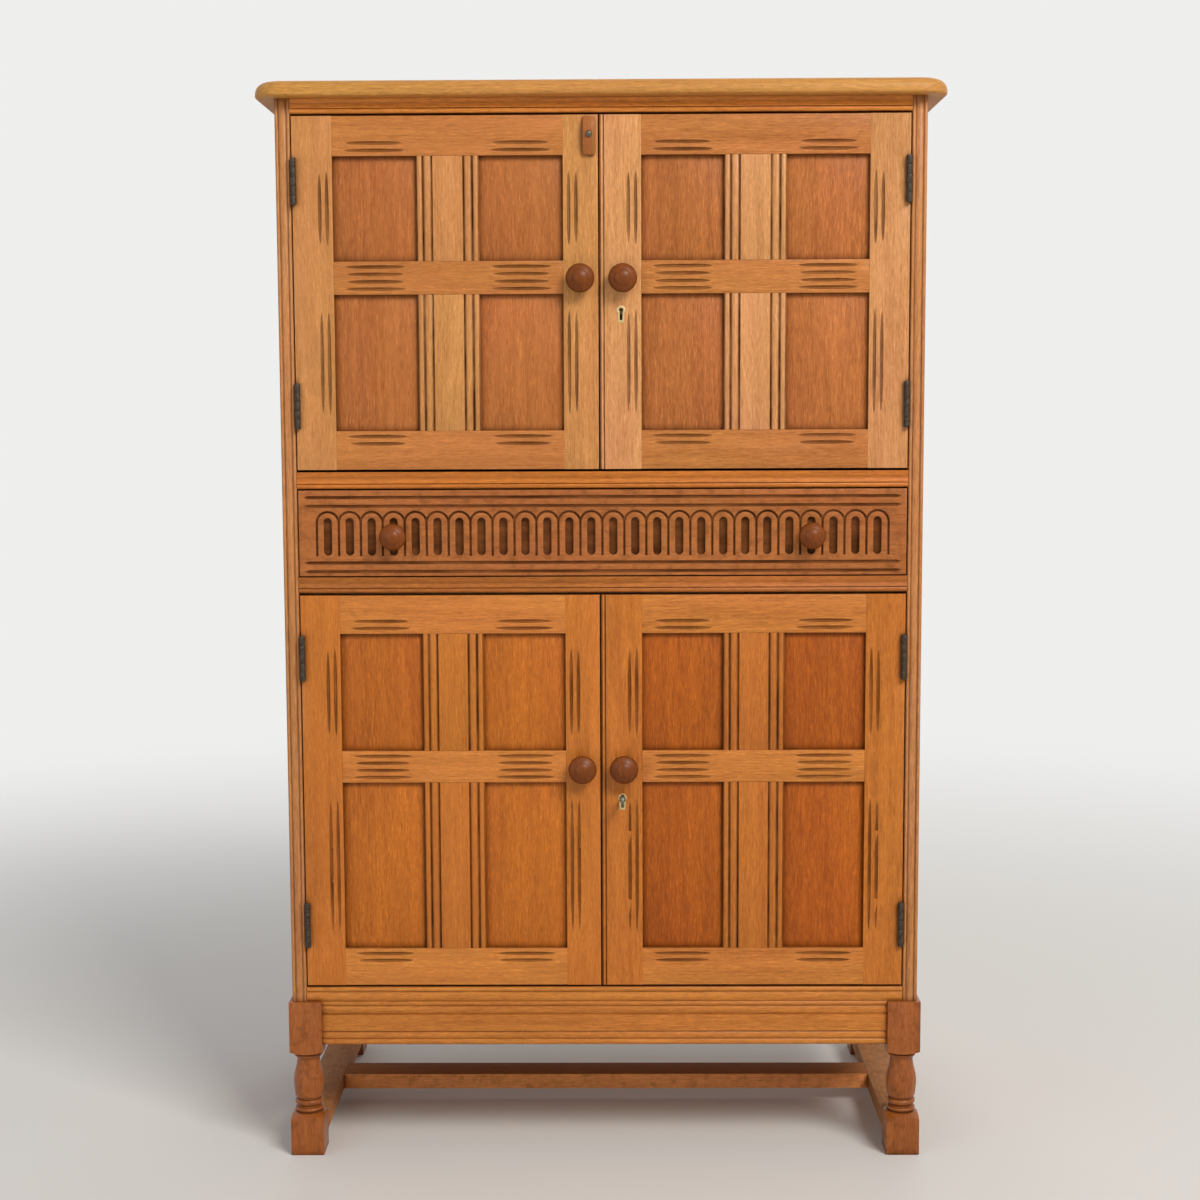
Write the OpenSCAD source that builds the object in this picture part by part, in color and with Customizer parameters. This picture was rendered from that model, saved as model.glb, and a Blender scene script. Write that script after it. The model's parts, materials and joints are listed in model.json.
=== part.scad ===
// Oak bar cabinet: two pairs of panelled doors, a carved drawer and a stand of turned legs.
// Millimetres. The front faces -Y, +Z is up, and the origin is under the middle of the whole.

/* [Carcass] */
// Width over the two sides
body_w = 789; // [700:1:900]
// Depth from the front of the stiles to the back
body_d = 420; // [360:5:480]
// Thickness of the sides, seen at the front as the reeded stiles
side_t = 18.4; // [16:0.2:22]
// Height of the reeded rail under the lower doors
bottom_rail_h = 18.5; // [14:0.1:26]
// Height of the lower door opening
lower_opening_h = 500.6; // [460:0.2:560]
// Height of the moulded rail under the drawer
lower_rail_h = 19.5; // [14:0.1:26]
// Height of the drawer opening
drawer_opening_h = 109.4; // [105:0.2:125]
// Height of the moulded rail over the drawer
upper_rail_h = 20.5; // [14:0.1:26]
// Height of the upper door opening
upper_opening_h = 433; // [400:0.2:480]
// Height of the frieze rail under the top
frieze_h = 18; // [12:0.2:24]
// Depth of the moulded front rails
rail_d = 30; // [26:1:40]
// Width of the stiles of the side frames
side_stile_w = 62; // [50:1:80]
// Height of the top and bottom rails of the side frames
side_rail_h = 72; // [60:1:100]
// Thickness of the inner boards
deck_t = 15; // [12:0.5:18]
// Thickness of the back panel
back_t = 6; // [4:0.5:9]
// Thickness of the cupboard shelves
shelf_t = 14; // [12:0.5:18]
// Depth of the cupboard shelves
shelf_d = 300; // [240:5:330]
// Section of the battens and stops
batten = 14; // [10:1:18]

/* [Top] */
// Thickness of the top
top_t = 19.6; // [19:0.2:28]
// Overhang of the top at each side
top_side = 25.2; // [16:0.2:34]
// Overhang of the top at the front
top_front = 20; // [12:1:30]
// Corner radius of the top in plan
top_corner_r = 36; // [28:1:50]
// Radius of the upper round of the edge
top_round_r = 14; // [10:0.5:15]
// Radius of the lower round of the edge
top_under_r = 4; // [3:0.5:5]

/* [Doors] */
// Thickness of the doors
door_t = 18; // [17:0.5:22]
// Width of the stile on the hinge side
hinge_stile_w = 48.5; // [40:0.5:60]
// Width of the meeting stile of a left door
left_meeting_w = 42.4; // [40:0.2:56]
// Width of the meeting stile of a right door, with its bead
right_meeting_w = 50.8; // [46:0.2:62]
// Width of the bead on the meeting edge of the right doors
bead_w = 6; // [4:0.5:8]
// Width of the muntins
muntin_w = 76; // [60:1:90]
// Width of the flat band of a muntin
muntin_flat = 38; // [28:1:46]
// Width of the outer reeds of a muntin
muntin_edge_reed = 8; // [6:0.2:10]
// Height of the top rail of a door
top_rail_h = 48; // [40:0.5:60]
// Height of the lock rail of a door
lock_rail_h = 40.3; // [34:0.1:50]
// Height of the bottom rail of a door
foot_rail_h = 47.5; // [40:0.5:60]
// Height of the upper panes of the upper doors
upper_pane_h = 125.8; // [100:0.5:150]
// Height of the upper panes of the lower doors
lower_pane_h = 147; // [120:0.5:180]
// Depth of a panel behind the face of its frame
panel_recess = 6; // [4:0.5:7]
// Thickness of the panels
panel_t = 6; // [5:0.5:7]
// Depth of the grooves that hold the panels
groove_d = 8; // [6:0.5:10]
// Gap round a door, and between the two of a pair
door_gap = 1.6; // [1.6:0.1:2.4]
// Gap over and under a door
door_gap_v = 3; // [1.6:0.1:3.6]
// Distance of the meeting line to the left of the middle
meeting_shift = 2.9; // [0:0.1:6]

/* [Knobs, hinges and locks] */
// Diameter of the door knobs
knob_d = 35; // [28:0.2:40]
// Diameter of the drawer knobs
drawer_knob_d = 32.8; // [26:0.2:38]
// Length of a hinge
hinge_len = 56; // [50:1:66]
// Radius of a hinge knuckle
knuckle_r = 3.4; // [3:0.1:4]
// Radius of a hinge pin
pin_r = 1.5; // [1.2:0.05:2]
// Thickness of a hinge leaf
leaf_t = 1.3; // [1:0.1:1.4]
// Distance from the end of a door to the middle of its hinge
hinge_inset = 78; // [60:1:110]
// Length of the turn button
button_len = 45.6; // [36:0.2:52]
// Width of the turn button
button_w = 14; // [10:0.5:16]
// Thickness of the turn button
button_t = 8; // [6:0.5:10]
// Travel of a lock bolt
bolt_travel = 8; // [5:0.5:10]
// Height of an escutcheon
escutcheon_h = 20.6; // [16:0.2:26]

/* [Drawer] */
// Thickness of the drawer front
drawer_front_t = 20; // [18:0.5:24]
// Room behind the drawer
drawer_back_gap = 27; // [20:1:60]
// Thickness of the drawer sides and back
drawer_side_t = 10; // [8:0.5:13]
// Thickness of the drawer bottom
drawer_bottom_t = 5; // [4:0.5:6]
// Number of arches in the carving
arch_count = 26; // [12:1:30]
// Distance between the arches
arch_pitch = 27.1; // [20:0.1:28]
// Width of the grooves that draw the arches
arch_groove_w = 2.9; // [2:0.1:4]
// Depth of the grooves
arch_groove_d = 2.2; // [1:0.1:4]
// Width of the slots in the arches
slot_w = 10.2; // [6:0.1:12]
// Depth of the slots
slot_d = 5; // [2:0.5:7]
// Height of an arch
arch_h = 56; // [44:0.5:64]

/* [Stand] */
// Height of the stand under the carcass
stand_h = 199.6; // [180:0.2:240]
// Side of the square blocks of a leg
leg_w = 41.5; // [36:0.5:50]
// How far the legs stand proud of the carcass
leg_proud = 4.4; // [2:0.2:8]
// Height of the upper block of a leg
leg_block_h = 69.6; // [62:0.2:76]
// Height of the foot block of a leg
foot_h = 52.8; // [50:0.2:60]
// Height of the aprons
apron_h = 56.3; // [50:0.1:60]
// Thickness of the aprons
apron_t = 18; // [15:0.5:22]
// Thickness of the stretchers
stretcher_t = 20.4; // [16:0.2:26]
// Height of the top of the stretchers
stretcher_z = 39.6; // [36:0.2:44]
// Width of the cross stretcher
cross_w = 46; // [30:0.5:60]

/* [Hidden] */
$fn = 48;
eps = 0.01;
fit = 0.3;             // gap between pieces that slide or rest on each other
vee = 1.6;             // depth of the grooves between reeds
reed_flank = 1.2;      // width of the slope at the side of a flat band
quirk = 0.2;           // half the width of the flat bottom of a groove between reeds
lip = 0.8;             // width of the flat edges of a hollow
gouge_w = 4.4;         // width of a gouge cut
gouge_d = 1.8;         // depth of a gouge cut
gouge_len = 76;        // length of a gouge cut along a rail
gouge_first = 6.8;     // from the edge of a pane to the first gouge cut
gouge_pitch = 8.8;     // from one gouge cut to the next
gouge_short = 33;      // how much shorter than its pane an upright gouge cut is
gouge_step = 5;        // how much shorter the second gouge cut is than the first
hinge_pin_play = 0.05; // running clearance of the pin in the door knuckles
knuckles = 5;
knuckle_play = 0.4;    // between the knuckles of the two leaves of a hinge
leaf_out = 0.2;        // how far the frame leaf of a hinge stands outside its knuckles

// Levels from the floor up
bottom_rail_z = stand_h;
lower_opening_z = bottom_rail_z + bottom_rail_h;
lower_rail_z = lower_opening_z + lower_opening_h;
drawer_opening_z = lower_rail_z + lower_rail_h;
upper_rail_z = drawer_opening_z + drawer_opening_h;
upper_opening_z = upper_rail_z + upper_rail_h;
frieze_z = upper_opening_z + upper_opening_h;
top_z = frieze_z + frieze_h;

// Widths
half_w = body_w / 2;
inner_half = half_w - side_t;
door_edge = inner_half - door_gap;
leg_out = half_w + leg_proud;
leg_in = leg_out - leg_w;

// The knobs reach furthest forward and the back is plain, so the middle lies between them
knob_neck = 11;
knob_dome = 7;
knob_edge = 4;
function knob_reach() = knob_neck + knob_edge * 2 + knob_dome;
face_y = -(body_d - knob_reach()) / 2;

// Pairs of doors: 0 is the lower pair, 1 the upper pair
opening_z = [lower_opening_z, upper_opening_z];
opening_h = [lower_opening_h, upper_opening_h];
pane_h = [lower_pane_h, upper_pane_h];
function door_z(level) = opening_z[level] + door_gap_v;
function door_h(level) = opening_h[level] - 2 * door_gap_v;
function door_top(level) = door_z(level) + door_h(level);
function lock_rail_z(level) = door_top(level) - top_rail_h - pane_h[level] - lock_rail_h;
function foot_rail_top(level) = door_z(level) + foot_rail_h;

// Sides: -1 is the left door, 1 the right door
function meeting_edge(side) = -meeting_shift + side * door_gap / 2;
function door_w(side) = door_edge - side * meeting_edge(side);
function meet_w(side) = side > 0 ? right_meeting_w : left_meeting_w;
function pane_w(side) = (door_w(side) - hinge_stile_w - meet_w(side) - muntin_w) / 2;
function pane_u(side, n) = hinge_stile_w + n * (pane_w(side) + muntin_w);

// The back panel sits in a rebate, and the boards end against it
back_rebate = 8;
back_y = body_d - back_rebate;
drawer_d = back_y - drawer_back_gap;

// The pin of a hinge lies in front of the edge of its door
hinge_out = knuckle_r + fit;
pin_in = knuckle_r + leaf_out - door_gap;
knob_from_meeting = 22;
knob_drop = 1.8;       // from the middle of the lock rail down to a knob
drawer_knob_drop = 4;  // from the middle of the drawer down to its knobs
lock_from_meeting = 23;
lock_drop = 40;        // from the middle of the lock rail down to a keyhole
button_drop = 24;      // from the top of the door down to the pivot of the turn button
button_in = 11;        // from the meeting edge of the left door to that pivot
button_arm = 24;       // the longer arm of the turn button
oak = "#C98B4E";
panel_oak = "#B5683A";
dark_oak = "#8A4B2B";
ply = "#C8A06A";
iron = "#3A332C";
brass = "#B8974C";
steel = "#8C8C88";

// A board from one corner to the other
module board(low, high) {
    translate(low) cube(high - low);
}

// Everything is drawn with the front of the stiles at y = 0 and moved by this to the real origin
module at_face() {
    translate([0, face_y, 0]) children();
}

// A section drawn as (depth, height) is run along X from x0 to x1
module along_x(x0, x1) {
    translate([x0, 0, 0]) rotate([90, 0, 90]) linear_extrude(x1 - x0) children();
}

// Strips of a moulded face, as [width, kind]
FLAT = 0;
REED = 1;
HOLLOW = 2;
function start_of(strips, n) = n == 0 ? 0 : strips[n - 1][0] + start_of(strips, n - 1);
function segment_r(w, crown) = (w * w / 4 + crown * crown) / (2 * crown);

// One strip of a moulded face in section: x is the depth behind the face, y runs along the face
module strip_section(w, kind) {
    r = segment_r(w - 2 * quirk, vee);
    cove_r = segment_r(w - 2 * lip, vee * 0.8);
    if (kind == REED) intersection() {
        translate([r, w / 2]) circle(r);
        square([vee + eps, w]);
    }
    if (kind == FLAT)
        polygon([[0, reed_flank], [vee + eps, quirk], [vee + eps, w - quirk], [0, w - reed_flank]]);
    if (kind == HOLLOW) difference() {
        square([vee + eps, w]);
        translate([vee * 0.8 - cove_r, w / 2]) circle(cove_r);
    }
}

// The whole section of a moulded piece
module moulded_section(strips, depth) {
    total = start_of(strips, len(strips));
    translate([vee, 0]) square([depth - vee, total]);
    for (n = [0 : len(strips) - 1])
        translate([0, start_of(strips, n)]) strip_section(strips[n][0], strips[n][1]);
}

// A spindle-shaped cut along X in a face at y = 0
module gouge(len) {
    out_r = segment_r(len, gouge_d);
    tube_r = segment_r(gouge_w, gouge_d);
    half_angle = asin((len / 2 + 3) / out_r);
    translate([0, gouge_d - out_r, 0]) rotate([0, 0, 90 - half_angle])
        rotate_extrude(angle = 2 * half_angle, $fn = 360)
            translate([out_r - tube_r, 0]) circle(tube_r, $fn = 24);
}

// Points on an arc, for turned outlines
function arc(cx, cy, r, from, to, steps = 6) =
    [for (n = [0 : steps]) let (a = from + (to - from) * n / steps) [cx + r * cos(a), cy + r * sin(a)]];

// Top

module top_edge_section() {
    w = top_corner_r;
    flat_in = w - top_round_r;
    difference() {
        square([w, top_t]);
        translate([flat_in, top_t - top_round_r]) difference() {
            square(top_round_r + 1);
            circle(top_round_r);
        }
        translate([w - top_under_r, 0]) difference() {
            translate([0, -1]) square([top_under_r + 1, top_under_r + 1]);
            translate([0, top_under_r]) circle(top_under_r);
        }
    }
}

module top_board() {
    x = half_w + top_side;
    inner = x - top_corner_r;
    front = -top_front + top_corner_r;
    color(oak) at_face() translate([0, 0, top_z]) {
        board([-inner, front, 0], [inner, body_d, top_t]);
        for (side = [-1, 1]) mirror([side > 0 ? 0 : 1, 0, 0]) {
            translate([inner, front, 0]) rotate([0, 0, -90])
                rotate_extrude(angle = 90) top_edge_section();
            translate([inner, body_d, 0]) rotate([90, 0, 0])
                linear_extrude(body_d - front) top_edge_section();
        }
        translate([-inner, front, 0]) rotate([0, 0, -90]) rotate([90, 0, 0]) mirror([0, 0, 1])
            linear_extrude(2 * inner) top_edge_section();
    }
}

// Front rails

rail_bead = 6.4;
function rail_strips(h) = [[rail_bead, REED], [h - rail_bead, HOLLOW]];
bottom_rail_reed = 12.2;
bottom_rail_strips = [[bottom_rail_reed, REED], [bottom_rail_h - bottom_rail_reed, REED]];

module front_rail(z, strips) {
    color(oak) at_face() translate([0, 0, z])
        along_x(-inner_half, inner_half) moulded_section(strips, rail_d);
}

module frieze_rail() { front_rail(frieze_z, rail_strips(frieze_h)); }
module upper_drawer_rail() { front_rail(upper_rail_z, rail_strips(upper_rail_h)); }
module lower_drawer_rail() { front_rail(lower_rail_z, rail_strips(lower_rail_h)); }
module bottom_rail() { front_rail(bottom_rail_z, bottom_rail_strips); }

// Side frames: the front stile carries the reeds that show at the front

stile_edge_reed = 4.4;
stile_strips = [[stile_edge_reed, REED], [side_t - 2 * stile_edge_reed, REED], [stile_edge_reed, REED]];
side_panel_y = [side_t / 2 - panel_t / 2, side_t / 2 + panel_t / 2];
side_pane_z = [bottom_rail_z + side_rail_h, lower_rail_z, upper_rail_z + upper_rail_h, top_z - side_rail_h];

// A hinge leaf let into an upright face at x = 0, reaching towards +X
module leaf_recess() {
    board([-eps, -eps, -hinge_len / 2], [leaf_t, door_t - 2, hinge_len / 2]);
}

module at_hinges(level) {
    for (z = [door_z(level) + hinge_inset, door_top(level) - hinge_inset]) translate([0, 0, z]) children();
}

module side_groove(z0, z1, y0, y1) {
    board([half_w - side_panel_y[1], y0, z0], [half_w - side_panel_y[0], y1, z1]);
}

module side_stiles() {
    color(oak) at_face() for (side = [-1, 1]) mirror([side > 0 ? 0 : 1, 0, 0]) {
        difference() {
            translate([inner_half, 0, bottom_rail_z]) linear_extrude(top_z - bottom_rail_z)
                mirror([1, 0]) rotate(90) moulded_section(stile_strips, side_stile_w);
            side_groove(bottom_rail_z - 1, top_z + 1, side_stile_w - groove_d, side_stile_w + 1);
        }
        difference() {
            board([inner_half, body_d - side_stile_w, bottom_rail_z], [half_w, body_d, top_z]);
            side_groove(bottom_rail_z - 1, top_z + 1, body_d - side_stile_w - 1,
                body_d - side_stile_w + groove_d);
            board([inner_half - 1, back_y, bottom_rail_z - 1],
                [inner_half + back_rebate, body_d + 1, top_z + 1]);
        }
    }
}

module side_rails() {
    rails = [[bottom_rail_z, side_pane_z[0]], [side_pane_z[1], side_pane_z[2]], [side_pane_z[3], top_z]];
    color(oak) at_face() for (side = [-1, 1]) mirror([side > 0 ? 0 : 1, 0, 0])
        for (rail = rails) difference() {
            union() {
                board([inner_half, side_stile_w, rail[0]], [half_w, body_d - side_stile_w, rail[1]]);
                side_groove(rail[0], rail[1], side_stile_w - groove_d, body_d - side_stile_w + groove_d);
            }
            if (rail[0] > bottom_rail_z)
                side_groove(rail[0] - 1, rail[0] + groove_d, side_stile_w - groove_d - 1,
                    body_d - side_stile_w + groove_d + 1);
            if (rail[1] < top_z)
                side_groove(rail[1] - groove_d, rail[1] + 1, side_stile_w - groove_d - 1,
                    body_d - side_stile_w + groove_d + 1);
        }
}

module side_panels() {
    play = 1;
    color(panel_oak) at_face() for (side = [-1, 1]) mirror([side > 0 ? 0 : 1, 0, 0])
        for (n = [0, 2])
            side_groove(side_pane_z[n] - groove_d, side_pane_z[n + 1] + groove_d,
                side_stile_w - groove_d + play, body_d - side_stile_w + groove_d - play);
}

// Inner boards

module deck(z_top, y0) {
    board([-inner_half, y0, z_top - deck_t], [inner_half, back_y, z_top]);
}

module upper_deck() { color(ply) at_face() deck(upper_opening_z, rail_d); }
module lower_deck() { color(ply) at_face() deck(drawer_opening_z, rail_d); }
module base_board() { color(ply) at_face() deck(lower_opening_z, rail_d); }

module rear_top_rail() {
    color(ply) at_face()
        board([-inner_half, back_y - side_stile_w / 2, frieze_z], [inner_half, back_y, top_z]);
}

module back_panel() {
    reach = inner_half + back_rebate;
    color(ply) at_face()
        board([-reach, back_y, bottom_rail_z], [reach, back_y + back_t, top_z]);
}

shelf_front = back_y - shelf_d;
upper_shelf_z = upper_opening_z + upper_opening_h / 2;
lower_shelf_z = lower_opening_z + lower_opening_h * 0.55;

module shelf(z) {
    play = 1;
    color(ply) at_face()
        board([-inner_half + play, shelf_front, z], [inner_half - play, back_y, z + shelf_t]);
}

module upper_shelf() { shelf(upper_shelf_z); }
module lower_shelf() { shelf(lower_shelf_z); }

module shelf_battens() {
    color(oak) at_face() for (z = [upper_shelf_z, lower_shelf_z]) for (side = [-1, 1])
        mirror([side > 0 ? 0 : 1, 0, 0])
            board([inner_half - batten, side_stile_w / 2, z - batten], [inner_half, back_y, z]);
}

drawer_stop_h = 5.5;
drawer_stop_w = 50;
drawer_stop_in = 100;  // from the side of the cabinet in to a block
module stops() {
    color(oak) at_face() {
        // Strips for the doors
        for (level = [0, 1]) {
            z = opening_z[level] + opening_h[level];
            board([-inner_half, door_t + fit, z - batten / 2], [inner_half, rail_d, z]);
        }
        // Blocks for the drawer front
        for (side = [-1, 1]) mirror([side > 0 ? 0 : 1, 0, 0])
            board([inner_half - drawer_stop_in - drawer_stop_w, drawer_front_t + fit, drawer_opening_z],
                [inner_half - drawer_stop_in, drawer_front_t + fit + 2 * batten,
                drawer_opening_z + drawer_stop_h]);
    }
}

// Doors: drawn from the hinge edge at u = 0 to the meeting edge, for the left or the right side

module on_door(side) {
    at_face() translate([side * door_edge, 0, 0]) mirror([side > 0 ? 1 : 0, 0, 0]) children();
}

module pane_groove(u0, u1, z0, z1) {
    board([u0, panel_recess, z0], [u1, panel_recess + panel_t, z1]);
}

// A keyhole, or the brass round it: a round head over a tapering foot
module key_shape(r, h, foot, z0, z1) {
    translate([0, 0, z0]) {
        cylinder(r = r, h = z1 - z0);
        linear_extrude(z1 - z0) polygon([[-r * 0.8, 0], [r * 0.8, 0], [foot, r - h], [-foot, r - h]]);
    }
}

keyhole_r = 2.6;
escutcheon_r = 5.4;
escutcheon_in = 3;
escutcheon_foot = 3.6;
keyhole_h = escutcheon_h - 6;
keyhole_foot = 1.6;
module at_keyhole(level) {
    on_door(1) translate([door_w(1) - lock_from_meeting - bead_w / 2, 0,
        lock_rail_z(level) + lock_rail_h / 2 - lock_drop]) rotate([-90, 0, 0]) mirror([0, 1, 0]) children();
}

module door_uprights(level, side) {
    w = door_w(side);
    z0 = door_z(level);
    z1 = door_top(level);
    mw = meet_w(side);
    muntins = [[foot_rail_top(level), lock_rail_z(level)],
        [lock_rail_z(level) + lock_rail_h, z1 - top_rail_h]];
    inner_reed = (muntin_w - muntin_flat) / 2 - muntin_edge_reed;
    muntin_strips = [[muntin_edge_reed, REED], [inner_reed, REED], [muntin_flat, FLAT], [inner_reed, REED],
        [muntin_edge_reed, REED]];
    color(oak) difference() {
        on_door(side) {
            // Hinge stile
            difference() {
                board([0, 0, z0], [hinge_stile_w, door_t, z1]);
                pane_groove(hinge_stile_w - groove_d, hinge_stile_w + 1, z0 - 1, z1 + 1);
                at_hinges(level) leaf_recess();
                upright_gouges(level, hinge_stile_w, -1);
            }
            // Meeting stile
            difference() {
                union() {
                    board([w - mw, 0, z0], [w - (side > 0 ? bead_w : 0), door_t, z1]);
                    if (side > 0) {
                        board([w - bead_w - eps, vee, z0], [w, door_t, z1]);
                        translate([w - bead_w, 0, z0]) linear_extrude(z1 - z0)
                            mirror([1, 0]) rotate(90) strip_section(bead_w, REED);
                    }
                }
                pane_groove(w - mw - 1, w - mw + groove_d, z0 - 1, z1 + 1);
                upright_gouges(level, w - mw, 1);
            }
            // Muntins
            for (m = muntins) difference() {
                union() {
                    translate([pane_u(side, 0) + pane_w(side), 0, m[0]]) linear_extrude(m[1] - m[0])
                        mirror([1, 0]) rotate(90) moulded_section(muntin_strips, door_t);
                    pane_groove(pane_u(side, 0) + pane_w(side) + groove_d,
                        pane_u(side, 1) - groove_d, m[0] - groove_d, m[1] + groove_d);
                }
                pane_groove(pane_u(side, 0) + pane_w(side) - 1,
                    pane_u(side, 0) + pane_w(side) + groove_d, m[0] - 1, m[1] + 1);
                pane_groove(pane_u(side, 1) - groove_d, pane_u(side, 1) + 1, m[0] - 1, m[1] + 1);
            }
        }
        knob_bore(level, side);
        if (side > 0) at_keyhole(level) {
            key_shape(escutcheon_r, escutcheon_h, escutcheon_foot, -1, escutcheon_in);
            key_shape(keyhole_r, keyhole_h, keyhole_foot, -1, door_t + 1);
        }
        if (side < 0 && level == 1) at_button()
            rotate([90, 0, 0]) cylinder(r = button_screw_r, h = 2 * door_t, center = true);
    }
}

// Two upright gouge cuts beside each pane, on the stile to the given side of the edge
module upright_gouges(level, edge, direction) {
    panes = [[foot_rail_top(level), lock_rail_z(level)],
        [lock_rail_z(level) + lock_rail_h, door_top(level) - top_rail_h]];
    for (p = panes) for (n = [0, 1])
        translate([edge + direction * (gouge_first + n * gouge_pitch), 0, (p[0] + p[1]) / 2])
            rotate([0, 90, 0]) gouge(p[1] - p[0] - gouge_short - gouge_step * n);
}

module door_rails(level, side) {
    w = door_w(side);
    z0 = door_z(level);
    z1 = door_top(level);
    u0 = hinge_stile_w;
    u1 = w - meet_w(side);
    lock = lock_rail_z(level);
    rails = [[z0, foot_rail_top(level)], [lock, lock + lock_rail_h], [z1 - top_rail_h, z1]];
    color(oak) on_door(side) for (n = [0 : 2]) difference() {
        union() {
            board([u0, 0, rails[n][0]], [u1, door_t, rails[n][1]]);
            pane_groove(u0 - groove_d, u1 + groove_d, rails[n][0], rails[n][1]);
        }
        if (n > 0) pane_groove(u0 - groove_d - 1, u1 + groove_d + 1, rails[n][0] - 1, rails[n][0] + groove_d);
        if (n < 2) pane_groove(u0 - groove_d - 1, u1 + groove_d + 1, rails[n][1] - groove_d, rails[n][1] + 1);
        for (pane = [0, 1]) translate([pane_u(side, pane) + pane_w(side) / 2, 0, 0]) {
            if (n > 0) rail_gouges(rails[n][0], 1);
            if (n < 2) rail_gouges(rails[n][1], -1);
        }
    }
}

// Two gouge cuts along a rail beside a pane, from the given edge of the rail inwards
module rail_gouges(edge, direction) {
    for (n = [0, 1]) translate([0, 0, edge + direction * (gouge_first + n * gouge_pitch)])
        gouge(gouge_len - gouge_step * n);
}

module door_panels(level, side) {
    play = 1;
    zs = [foot_rail_top(level), lock_rail_z(level), lock_rail_z(level) + lock_rail_h,
        door_top(level) - top_rail_h];
    color(panel_oak) on_door(side) for (pane = [0, 1]) for (n = [0, 2])
        pane_groove(pane_u(side, pane) - groove_d + play, pane_u(side, pane) + pane_w(side) + groove_d - play,
            zs[n] - groove_d, zs[n + 1] + groove_d);
}

// Knobs: a mushroom head on a neck, with a spigot into the wood

spigot_r = 5;
spigot_len = 14;
knob_shoulder = 5.6;   // how much of the dome the shoulder would take if it ran on to the middle
module knob(d) {
    r = d / 2;
    rim = r - knob_edge;
    rim_h = knob_neck + knob_edge;
    shoulder_low = (rim * rim - knob_shoulder * knob_shoulder) / (2 * knob_shoulder);
    shoulder_r = knob_edge + sqrt(rim * rim + shoulder_low * shoulder_low);
    tilt = atan2(shoulder_low, rim);
    // A smaller dome stands on the shoulder, behind a fine step
    step_r = r * 0.58;
    button_r = r * 0.54;
    step_h = rim_h - shoulder_low + sqrt(shoulder_r * shoulder_r - step_r * step_r);
    button_h = knob_reach() - step_h - 0.8;
    button_round = segment_r(2 * button_r, button_h);
    outline = concat(
        [[0, -spigot_len], [spigot_r, -spigot_len], [spigot_r, 0], [r * 0.56, 0], [r * 0.56, 1.6]],
        arc(r * 0.56 + 1.6, knob_neck / 2 + 0.8, knob_neck / 2 - 0.8, 250, 130, 6),
        arc(rim, rim_h, knob_edge, 270, 360 + tilt, 8),
        arc(0, rim_h - shoulder_low, shoulder_r, tilt + 6, acos(step_r / shoulder_r), 5),
        arc(0, knob_reach() - button_round, button_round, acos(button_r / button_round), 90, 8));
    rotate_extrude() polygon(outline);
}

module at_knob(level, side) {
    at_face() translate([meeting_edge(side) + side * (knob_from_meeting + (side > 0 ? bead_w : 0)), 0,
        lock_rail_z(level) + lock_rail_h / 2 - knob_drop]) children();
}

module door_knob(level, side) {
    color(dark_oak) at_knob(level, side) rotate([90, 0, 0]) knob(knob_d);
}

module knob_bore(level, side) {
    at_knob(level, side) rotate([-90, 0, 0]) translate([0, 0, -1]) cylinder(r = spigot_r, h = spigot_len + 1);
}

// Butt hinges: the frame leaf lies on the frame and has the odd knuckles and the pin, and the other is let
// into the edge of the door

function hinge_x() = door_edge - pin_in;
module knuckle_set(first, bore) {
    pitch = hinge_len / knuckles;
    play = knuckle_play / 2;
    difference() {
        for (n = [first : 2 : knuckles - 1]) translate([0, 0, n * pitch - hinge_len / 2 + (n > 0 ? play : 0)])
            cylinder(r = knuckle_r, h = pitch - (n > 0 ? play : 0) - (n < knuckles - 1 ? play : 0));
        cylinder(r = bore, h = hinge_len + 2, center = true);
    }
}

// A leaf from x = from towards +X, cut away where the other leaf has its knuckles
module leaf(from, first, bore) {
    pitch = hinge_len / knuckles;
    difference() {
        board([from, 0, -hinge_len / 2], [from + leaf_t, hinge_out + door_t - 2, hinge_len / 2]);
        for (n = [1 - first : 2 : knuckles - 1]) translate([0, 0, n * pitch - hinge_len / 2])
            board([from - 1, -1, -knuckle_play / 2],
                [from + leaf_t + 1, knuckle_r + knuckle_play, pitch + knuckle_play / 2]);
        cylinder(r = bore, h = hinge_len + 2, center = true);
    }
    knuckle_set(first, bore);
}

module at_pin(level, side) {
    at_face() mirror([side > 0 ? 0 : 1, 0, 0]) translate([hinge_x(), -hinge_out, 0])
        at_hinges(level) children();
}

module hinge_frame_leaves() {
    color(iron) for (level = [0, 1]) for (side = [-1, 1]) at_pin(level, side)
        leaf(pin_in + door_gap - leaf_t, 0, pin_r);
}

module hinge_pins() {
    color(iron) for (level = [0, 1]) for (side = [-1, 1]) at_pin(level, side)
        cylinder(r = pin_r, h = hinge_len, center = true);
}

module door_hinge_leaves(level, side) {
    color(iron) at_pin(level, side)
        leaf(pin_in - leaf_t, 1, pin_r + hinge_pin_play);
}

// Locks on the backs of the right doors

lock_w = 42;
lock_inset = 1.5;      // from the meeting edge of the door to its lock
lock_hh = 26;          // half height of a lock case
lock_t = 10;
bit_r = 8;
bit_t = 2.4;
bolt_h = 14;
bolt_t = 3;
bolt_y = door_t + lock_t - 1.6 - bolt_t;
function lock_x() = meeting_edge(1) + lock_from_meeting + bead_w / 2;
function lock_z(level) = lock_rail_z(level) + lock_rail_h / 2 - lock_drop;

module escutcheon(level) {
    proud = 0.3;
    color(brass) at_keyhole(level) difference() {
        key_shape(escutcheon_r, escutcheon_h, escutcheon_foot, -proud, escutcheon_in);
        key_shape(keyhole_r, keyhole_h, keyhole_foot, -proud - 1, escutcheon_in + 1);
    }
}

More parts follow.
